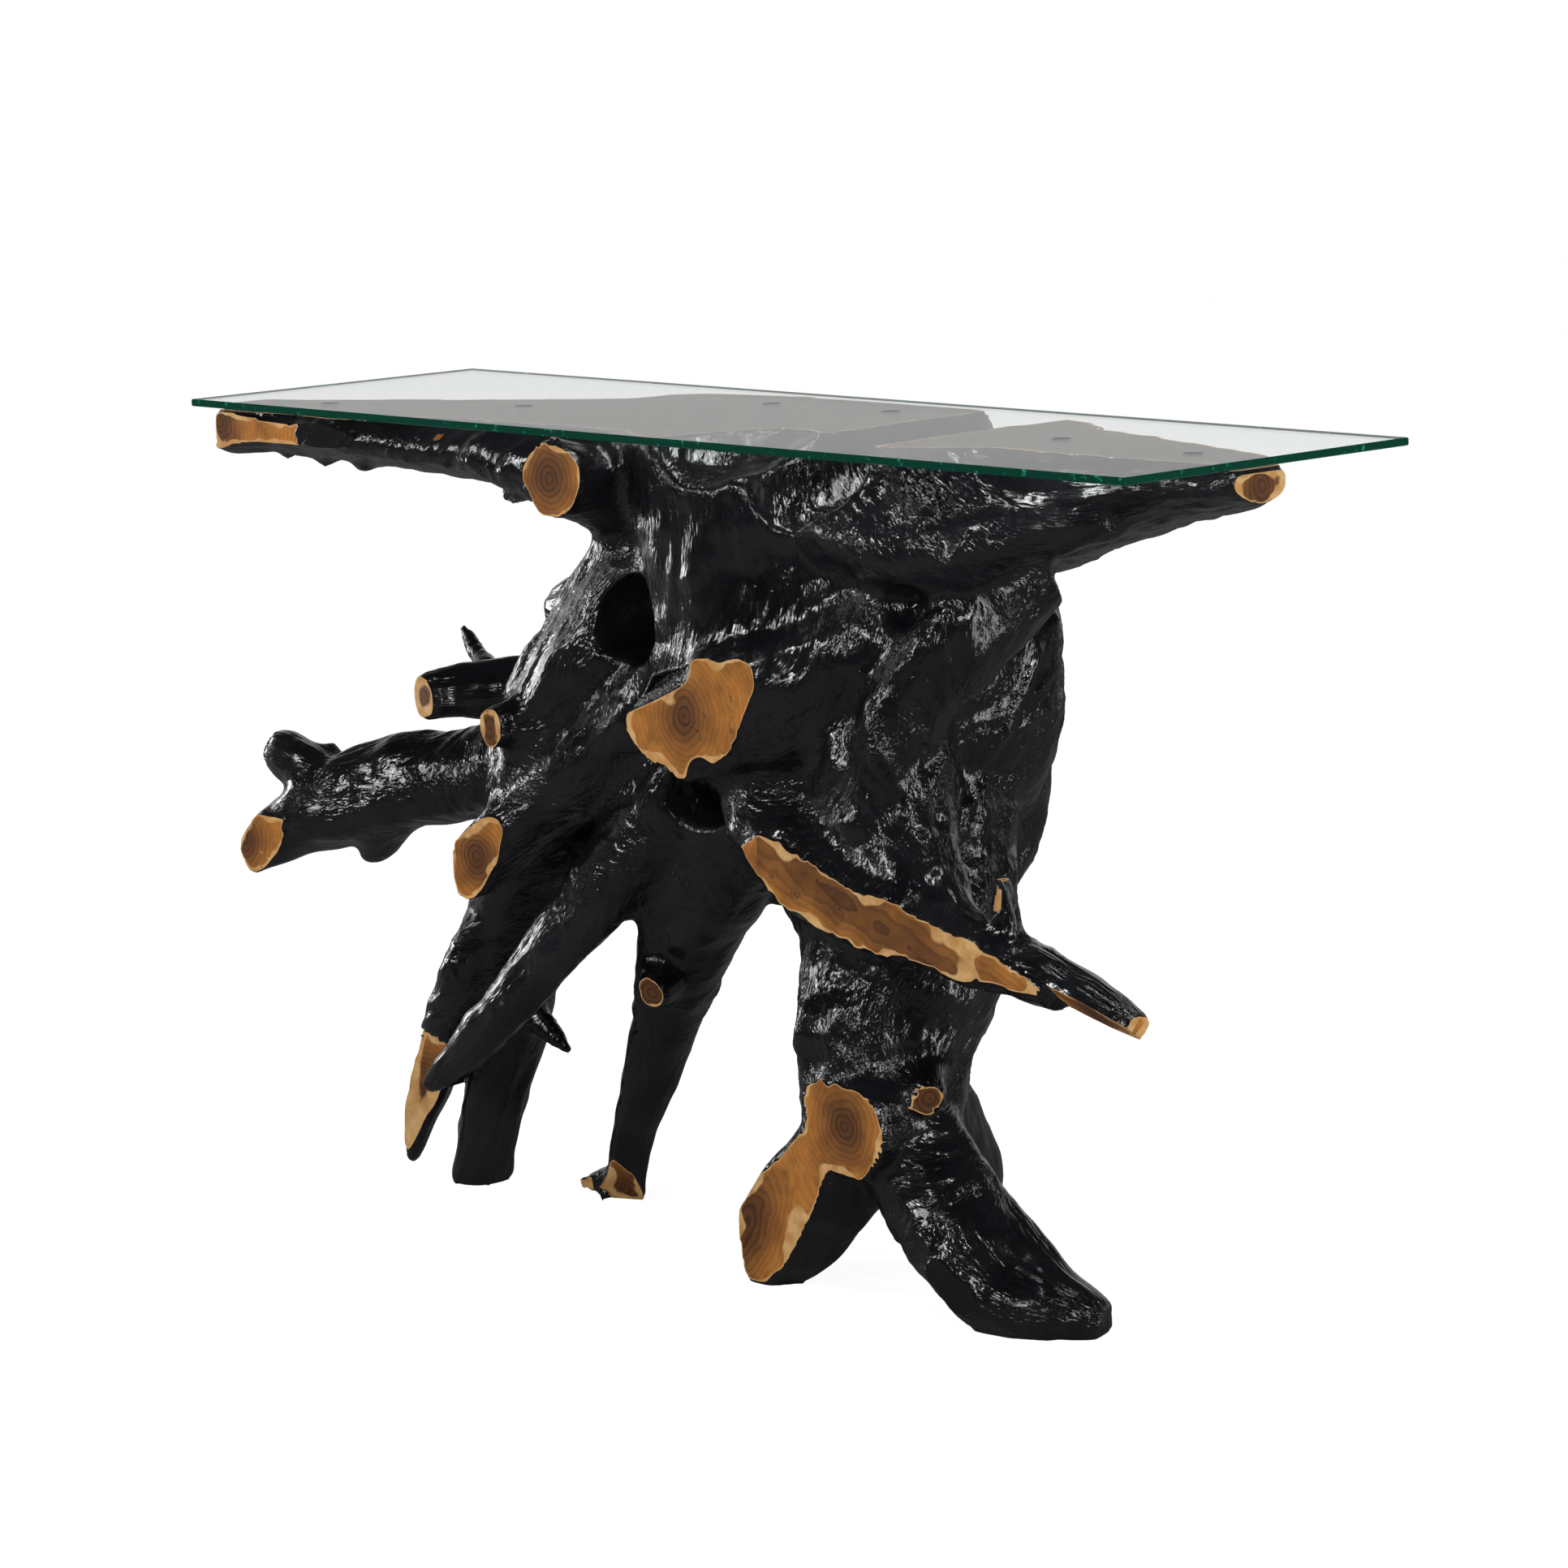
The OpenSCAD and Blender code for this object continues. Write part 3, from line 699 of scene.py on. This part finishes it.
def closed(piece):
    """Closes a piece's open ends inside its joints, and gives its skin the normals of the whole stump."""
    mesh = piece.data
    bm = bmesh.new()
    bm.from_mesh(mesh)
    flag = bm.faces.layers.int["sawn"]
    old_faces = set(bm.faces)
    for group in list(open_ends(bm)):
        made = bmesh.ops.extrude_edge_only(bm, edges=group)["geom"]
        inside = {part for part in made if isinstance(part, bmesh.types.BMVert)}
        for vert in inside:
            others = [edge.other_vert(vert) for edge in vert.link_edges]
            outer = next(other for other in others if other not in inside)
            vert.co -= outer.normal * WALL
        new_edges = [part for part in made if isinstance(part, bmesh.types.BMEdge)]
        rim_edges = [edge for edge in new_edges if inside.issuperset(edge.verts)]
        bmesh.ops.triangle_fill(bm, use_beauty=True, edges=rim_edges)
    for face in bm.faces:
        face.smooth = True
        if face not in old_faces:
            face[flag] = 0
        face.material_index = face[flag]
    bmesh.ops.recalc_face_normals(bm, faces=bm.faces)
    mesh.materials.clear()
    bm.to_mesh(mesh)
    bm.free()
    kept = np.zeros(len(mesh.loops) * 3, np.float32)
    mesh.attributes["whole_normal"].data.foreach_get("vector", kept)
    mesh.normals_split_custom_set(kept.reshape(-1, 3).tolist())
    for name in ("whole_normal", "cut", "owner", "sawn"):
        mesh.attributes.remove(mesh.attributes[name])


for name, piece in pieces.items():
    closed(piece)
print("Triangles a piece:", {name: sum(len(face.vertices) - 2 for face in piece.data.polygons)
                             for name, piece in pieces.items()})

# %% [markdown]
# ## Shader maths
# Materials are sums of noises. One small class wraps a socket so that such sums read as sums in Python.
# Each node and link could be written out instead, but the sums would be lost among hundreds of lines.

# %% The wire


class Wire:
    """A socket in a material's nodes. Sums of wires and numbers add Math nodes."""

    def __init__(self, tree, socket=None):
        self.tree = tree
        self.socket = socket

    def node(self, kind, settings=None, values=None, output=0):
        """Adds a node: its settings first, then a value or a wire for each socket. Gives one output."""
        made = self.tree.nodes.new(kind)
        for name, value in (settings or {}).items():
            setattr(made, name, value)
        for name, value in (values or {}).items():
            if isinstance(value, Wire):
                self.tree.links.new(value.socket, made.inputs[name])
            else:
                made.inputs[name].default_value = value
        return Wire(self.tree, made.outputs[output])

    def sum(self, operation, first, second=0.0):
        """One Math node."""
        return self.node("ShaderNodeMath", {"operation": operation}, {0: first, 1: second})

    def __add__(self, other):
        return self.sum("ADD", self, other)

    __radd__ = __add__

    def __mul__(self, other):
        return self.sum("MULTIPLY", self, other)

    __rmul__ = __mul__

    def __sub__(self, other):
        return self.sum("SUBTRACT", self, other)

    def __rsub__(self, other):
        return self.sum("SUBTRACT", other, self)

    def step(self, low, high):
        """0 below low and 1 above high, with a smooth rise between."""
        settings = {"interpolation_type": "SMOOTHSTEP"}
        return self.node("ShaderNodeMapRange", settings, {0: self, 1: low, 2: high})

    def scaled(self, size):
        """A vector times a number."""
        return self.node("ShaderNodeVectorMath", {"operation": "SCALE"}, {0: self, "Scale": size})

    def moved(self, other):
        """The sum of two vectors."""
        return self.node("ShaderNodeVectorMath", {"operation": "ADD"}, {0: self, 1: other})

    def noise(self, size, detail=2.0, rough=0.5):
        """Noise that reads this vector, with lumps of this size."""
        values = {"Vector": self, "Scale": 1 / size, "Detail": detail, "Roughness": rough}
        return self.node("ShaderNodeTexNoise", {}, values)

    def groove(self, size):
        """Noise with sharp valleys at 0 and round backs up to about 1, that reads this vector."""
        return self.sum("ABSOLUTE", self.noise(size, 1) - 0.5) * 4

    def mix(self, first, second):
        """The first colour where this wire is 0 and the second where it is 1."""
        return self.node("ShaderNodeMix", {"data_type": "RGBA"}, {0: self, 6: first, 7: second}, 2)

    def attribute(self, name, output):
        """A measure that the mesh carries: output 1 gives a vector and output 2 a number."""
        return self.node("ShaderNodeAttribute", {"attribute_name": name}, {}, output)

    def place(self):
        """The place of the point, in the object's own coordinates."""
        return self.node("ShaderNodeTexCoord", {}, {}, 3)

    def bump(self, height, strength=1.0):
        """The normal of a surface with this height, in millimetres."""
        values = {"Strength": strength, "Distance": MM, "Height": height}
        return self.node("ShaderNodeBump", {}, values)


def finish(name):
    """A new material, with a wire to start from and its shader."""
    material = bpy.data.materials.new(name)
    material.use_nodes = True
    return material, Wire(material.node_tree), material.node_tree.nodes["Principled BSDF"]


def colour(red, green, blue):
    """A screen colour from 0 to 255, as the light values that a shader reads."""
    parts = [part / 255 for part in (red, green, blue)]
    return (*[part / 12.92 if part <= 0.04045 else ((part + 0.055) / 1.055) ** 2.4 for part in parts], 1)


def attach(shader, name, wire):
    """Joins a wire to one of a shader's sockets."""
    wire.tree.links.new(wire.socket, shader.inputs[name])


def count(material):
    """Prints how many nodes a finish has."""
    print(material.name, "has", len(material.node_tree.nodes), "nodes")


# %% [markdown]
# ## Black lacquer
# The lacquer is black and very glossy, and it follows each fibre, so the light breaks into thousands of
# short bright lines. The streaks are grooves that read the start of the fibre line, with a little of the
# plain place added, so that a streak has a length. They drive the bump. They also paint a faint sheen into
# the black, a painted reflection that is lighter in broad patches and along the grooves.
# Stretched noise on plain coordinates would run straight on where a root bends.

# %% Lacquer
# Sizes of grooves and noises are in metres, and heights in millimetres
lacquer, wire, shader = finish("lacquered_root")
line = wire.attribute("fibre", 1)
place = wire.place()
bundle = line.moved(place.scaled(0.06)).groove(0.016)
strand = line.moved(place.scaled(0.035)).groove(0.0065)
hair = line.moved(place.scaled(0.025)).groove(0.0028)
pits = place.noise(0.012, 2, 0.5)
coarse = place.noise(0.07, 3).step(0.35, 0.62)
height = bundle * 0.8 + strand * (coarse * 0.5 + 0.3) + hair * (coarse * 0.22 + 0.08) + pits * 0.6
attach(shader, "Normal", wire.bump(height))
worn = (wire.attribute("lap", 2) + (place.noise(0.008, 3) - 0.5) * 1.6).step(1.0, 1.15)
# Painted sheen: broad lighter patches and the hair grooves lift the black base colour, as a painted
# reflection
painted_sheen = place.noise(0.09, 3).step(0.35, 0.7) * 0.6 + hair * 0.3
black = painted_sheen.mix(colour(3, 3, 5), colour(21, 21, 24))
attach(shader, "Base Color", worn.mix(black, colour(112, 66, 30)))
attach(shader, "Roughness", place.noise(0.03, 3) * 0.2 + (strand * 0.05 + 0.06))
shader.inputs["Coat Weight"].default_value = 0.2
shader.inputs["Coat Roughness"].default_value = 0.03
count(lacquer)

# %% [markdown]
# ## Bare wood
# Bare teak is orange brown, darker near the pith and pale in the outer rings, with soft dark rings, a few
# dark flecks and cracks, and a thin clear varnish. The top under the glass is coloured dark brown, nearly
# black. A wood texture node could draw rings too, but only round a straight axis, and each root has an axis
# of its own.

# %% Sawn wood


RINGS_A_METRE = 150


def wood_grain(wire):
    """A bare face: the distance from the pith, and how much of it is dark ring and crack."""
    place = wire.place()
    radius = wire.attribute("ring", 2) + place.noise(0.05, 3) * 0.022
    rings = wire.sum("FRACT", radius * RINGS_A_METRE + place.noise(0.02, 2) * 0.7)
    ringed = rings.step(0.3, 0.95) * (1.0 - rings.step(0.95, 1.0))
    split = wire.sum("ABSOLUTE", place.noise(0.045, 4, 0.6) - 0.5)
    crack = (1.0 - split.step(0.0015, 0.005)) * place.noise(0.06, 2).step(0.6, 0.66)
    return radius, ringed, crack


sawn_wood, wire, shader = finish("sawn_root")
radius, ringed, crack = wood_grain(wire)
place = wire.place()
cloud = place.noise(0.04, 4, 0.6).step(0.3, 0.72)
heart = cloud.mix(colour(182, 117, 42), colour(134, 82, 26))
core = (1.0 - radius.step(0.018, 0.066)) * 0.85
heart = (ringed * 0.22 + core).mix(heart, colour(68, 37, 14))
fleck = place.noise(0.011, 4, 0.7).step(0.66, 0.74) * 0.5
heart = fleck.mix(heart, colour(72, 38, 16))
reach = place.noise(0.05, 2).step(0.45, 0.7) * 0.011 + 0.0012
sap = 1.0 - wire.sum("DIVIDE", wire.attribute("rim", 2), reach).step(0.75, 1.1)
pale = place.noise(0.014, 3).step(0.3, 0.7).mix(colour(212, 172, 114), colour(186, 136, 76))
bare = crack.mix((sap * 0.85).mix(heart, pale), colour(58, 30, 12))
painted = (wire.attribute("lap", 2) * -1 + (place.noise(0.04, 4) - 0.5) * 2.2).step(0.85, 0.92)
attach(shader, "Base Color", painted.mix(bare, colour(12, 12, 14)))
attach(shader, "Roughness", place.noise(0.01, 3) * 0.2 + (0.36 - painted * 0.22))
attach(shader, "Normal", wire.bump(crack * -1.2 + ringed * 0.06 + painted * place.noise(0.005, 3) * 0.8))
shader.inputs["Specular IOR Level"].default_value = 0.35
count(sawn_wood)

# %% Dark top
dark_top, wire, shader = finish("dark_top")
ringed, crack = wood_grain(wire)[1:]
# The top is coloured dark brown, nearly black, with darker rings and cracks, and a pale line along its edge
dark = (ringed * 0.4 + crack * 0.5).mix(colour(46, 36, 29), colour(20, 16, 14))
bare_line = 1.0 - (wire.attribute("rim", 2) + wire.place().noise(0.02, 2) * 0.004).step(0.0035, 0.006)
attach(shader, "Base Color", bare_line.mix(dark, colour(176, 122, 66)))
attach(shader, "Roughness", wire.place().noise(0.02, 3) * 0.2 + 0.4)
attach(shader, "Normal", wire.bump(crack * -1.0 + ringed * 0.05))
count(dark_top)

# %% The roots are dressed
for name, piece in pieces.items():
    for material in (lacquer, sawn_wood, dark_top):
        piece.data.materials.append(material)
    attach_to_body(piece, "root")
    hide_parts(name)
print("Roots dressed:", len(pieces))

# %% [markdown]
# ## Glass, pads and dowels
# The pane is a slab of glass, made from the CAD solid. Shadow rays pass it, as light does. Its index is
# lower than that of real glass: at the low angle of the photo the real index would mirror the room so
# strongly that it hid the wood, and the photo shows both. The polished edges get a colour of their own
# that is painted light: light that has run the whole length of the pane comes out dark green, with a few
# bright flecks, and a path tracer finds too little of that light to draw it cleanly. The dark green is the
# glass's own tint seen along the pane, and the bright flecks are painted glints. The pads and dowels keep
# their CAD meshes.

# %% Glass
PANE_INDEX = 1.055
glass, wire, shader = finish("clear_glass")
shader.inputs["Base Color"].default_value = (0.97, 1, 0.985, 1)
shader.inputs["Transmission Weight"].default_value = 1
shader.inputs["IOR"].default_value = PANE_INDEX
attach(shader, "Roughness", wire.place().noise(0.2, 2) * 0.01)
output = glass.node_tree.nodes["Material Output"]
shadow = wire.node("ShaderNodeLightPath", {}, {}, 1)
clear = wire.node("ShaderNodeBsdfTransparent", {}, {"Color": (0.93, 0.97, 0.955, 1)})
both = wire.node("ShaderNodeMixShader", {}, {0: shadow, 1: Wire(wire.tree, shader.outputs[0]), 2: clear})
wire.tree.links.new(both.socket, output.inputs["Surface"])

edge_painted_light, wire, shader = finish("glass_edge_painted_light")
# Painted light on the edges: dark green for the glass's tint along the pane, and painted glints where this
# noise rises
along_edge = wire.place().noise(0.012, 3, 0.7)
bright = along_edge.step(0.6, 0.72)
attach(shader, "Base Color", bright.mix(colour(6, 52, 40), colour(34, 150, 112)))
attach(shader, "Roughness", along_edge * 0.1 + 0.04)

pane = bpy.data.objects.new("glass_pane", merged_copy("glass_top"))
bpy.context.scene.collection.objects.link(pane)
pane.data.materials.append(glass)
pane.data.materials.append(edge_painted_light)
for face in pane.data.polygons:
    face.material_index = 0 if abs(face.normal.z) > FLAT_ENOUGH else 1
    face.use_smooth = False
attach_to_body(pane, "root")
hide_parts("glass_top")
count(glass)
count(edge_painted_light)

# %% Pads
PAD_INDEX = 1.2
rubber, wire, shader = finish("clear_pad")
place = wire.place()
attach(shader, "Base Color", place.noise(0.004, 2).mix((0.75, 0.8, 0.8, 1), (0.85, 0.88, 0.88, 1)))
attach(shader, "Roughness", place.noise(0.002, 2) * 0.2 + 0.1)
shader.inputs["Transmission Weight"].default_value = 1
shader.inputs["IOR"].default_value = PAD_INDEX
count(rubber)

# %% Dowels
turned, wire, shader = finish("turned_dowel")
grain = wire.place().noise(0.003, 4, 0.6)
attach(shader, "Base Color", grain.mix(colour(214, 176, 124), colour(176, 132, 82)))
attach(shader, "Roughness", grain * 0.2 + 0.5)
for name, node in nodes.items():
    if name.startswith("dowel"):
        node.data.materials.clear()
        node.data.materials.append(turned)
    if name.startswith("pad"):
        node.data.materials.clear()
        node.data.materials.append(rubber)
count(turned)

# %% [markdown]
# ## Studio
# A pale floor, a white surround and six small soft lamps. The camera sees the surround white. Reflections
# see a dark room with one bright wall behind the table, as in a studio for glossy things: a white room on
# all sides would turn the black lacquer grey.

# %% Floor and world
WALL_WAY = (-0.72, 0.69, 0)
BRIGHT_WALL = 0.63
DARK_SIDES = 0.02
EVEN_LIGHT = 0.3
# This share of the floor that the camera sees is an even glow, and the rest shows the shadow
GLOW_SHARE = 0.75
GLOW = 1.24


def no_bounce(wire):
    """1 for light that reaches the camera straight or through glass only, and 0 for the rest."""
    outputs = wire.node("ShaderNodeLightPath").socket.node.outputs
    bounces = Wire(wire.tree, outputs["Glossy Depth"]) + Wire(wire.tree, outputs["Diffuse Depth"])
    return 1.0 - wire.sum("MINIMUM", bounces, 1.0)


def mirrored(wire):
    """1 for light that is on its way to a reflection, and 0 for the rest."""
    outputs = wire.node("ShaderNodeLightPath").socket.node.outputs
    diffuse = wire.sum("MINIMUM", Wire(wire.tree, outputs["Diffuse Depth"]), 1.0)
    return wire.sum("MINIMUM", Wire(wire.tree, outputs["Glossy Depth"]), 1.0) * (1.0 - diffuse)


bpy.ops.mesh.primitive_plane_add(size=30)
floor = bpy.context.object
floor.name = "floor"
paper, wire, shader = finish("paper")
pale_paper = wire.place().noise(3, 2).mix((0.8, 0.8, 0.8, 1), (0.82, 0.82, 0.82, 1))
attach(shader, "Base Color", mirrored(wire).mix(pale_paper, (0.16, 0.16, 0.16, 1)))
shader.inputs["Roughness"].default_value = 0.9
shader.inputs["Specular IOR Level"].default_value = 0
glow = wire.node("ShaderNodeEmission", {}, {"Color": (1, 1, 1, 1), "Strength": GLOW})
lit = Wire(wire.tree, shader.outputs[0])
blend = wire.node("ShaderNodeMixShader", {}, {0: no_bounce(wire) * GLOW_SHARE, 1: lit, 2: glow})
wire.tree.links.new(blend.socket, wire.tree.nodes["Material Output"].inputs["Surface"])
floor.data.materials.append(paper)
floor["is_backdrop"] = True

world = bpy.data.worlds.new("studio")
bpy.context.scene.world = world
world.use_nodes = True
wire = Wire(world.node_tree)
way = wire.node("ShaderNodeTexCoord", {}, {}, 0)
facing = wire.node("ShaderNodeVectorMath", {"operation": "DOT_PRODUCT"}, {0: way, 1: WALL_WAY}, 1)
rise = wire.node("ShaderNodeSeparateXYZ", {}, {0: way}, 2)
# The bright wall fades out above, from 12 to 27 degrees over the horizon
wall = facing.step(0.1, 0.7) * (1.0 - rise.step(0.2, 0.45))
dark_room = wall * BRIGHT_WALL + DARK_SIDES
level = mirrored(wire) * dark_room + (1.0 - mirrored(wire)) * EVEN_LIGHT
background = world.node_tree.nodes["Background"]
background.inputs["Color"].default_value = (1, 1, 1, 1)
white = no_bounce(wire)
wire.tree.links.new((white + (1.0 - white) * level).socket, background.inputs["Strength"])
print("The world has", len(world.node_tree.nodes), "nodes")

# %% Lamps


def lamp(name, place, target, size, power):
    """A soft rectangular lamp that looks at a place."""
    data = bpy.data.lights.new(name, "AREA")
    data.shape = "RECTANGLE"
    data.size, data.size_y = size
    data.energy = power
    made = bpy.data.objects.new(name, data)
    bpy.context.scene.collection.objects.link(made)
    made.location = place
    made.rotation_euler = (Vector(target) - Vector(place)).to_track_quat("-Z", "Y").to_euler()
    print(name, "gives", power, "W")


lamp("left_box", (-1.7, -2.6, 2.0), (0, 0, 0.5), (0.35, 1.1), 33)
lamp("low_left_box", (-2.9, -0.3, 0.8), (-0.2, 0, 0.4), (0.3, 0.9), 14)
lamp("right_box", (2.9, -0.9, 1.9), (0, 0, 0.5), (0.3, 1.0), 26)
lamp("side_box", (3.0, 0.8, 0.7), (0.2, 0, 0.5), (0.35, 1.3), 16)
lamp("front_box", (1.0, -3.4, 2.6), (0, 0, 0.5), (0.6, 0.4), 24)
lamp("top_box", (0.2, 0.4, 3.0), (0, 0, 0.5), (1.2, 0.5), 26)

# %% [markdown]
# ## Camera
# The photo was taken from the front right with a long lens, a little above the table's top, and the
# horizon tilts by a degree and a half. The numbers come from setting the pane's four corners on those in
# the photo. Turning the camera by eye gets close, but then no root falls in its place.

# %% Camera
AZIMUTH = math.radians(46.31)
ELEVATION = math.radians(9.62)
ROLL = math.radians(-1.53)
CAMERA_PLACE = (4.111, -3.909, 1.433)
FOCAL_LENGTH = 125.33
SENSOR_WIDTH = 36
turn = (Matrix.Rotation(AZIMUTH, 4, "Z") @ Matrix.Rotation(math.pi / 2 - ELEVATION, 4, "X")
        @ Matrix.Rotation(ROLL, 4, "Z"))
lens = bpy.data.cameras.new("camera")
lens.lens = FOCAL_LENGTH
lens.sensor_width = SENSOR_WIDTH
camera = bpy.data.objects.new("camera", lens)
camera.matrix_world = Matrix.Translation(CAMERA_PLACE) @ turn
bpy.context.scene.collection.objects.link(camera)
bpy.context.scene.camera = camera
bpy.context.scene.view_settings.view_transform = "Standard"
print("The camera stands", round(Vector(CAMERA_PLACE).length, 2), "m from the table's middle")

# %% Hand over
[[list(corner) for corner in box] for box in (cad_box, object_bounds())]
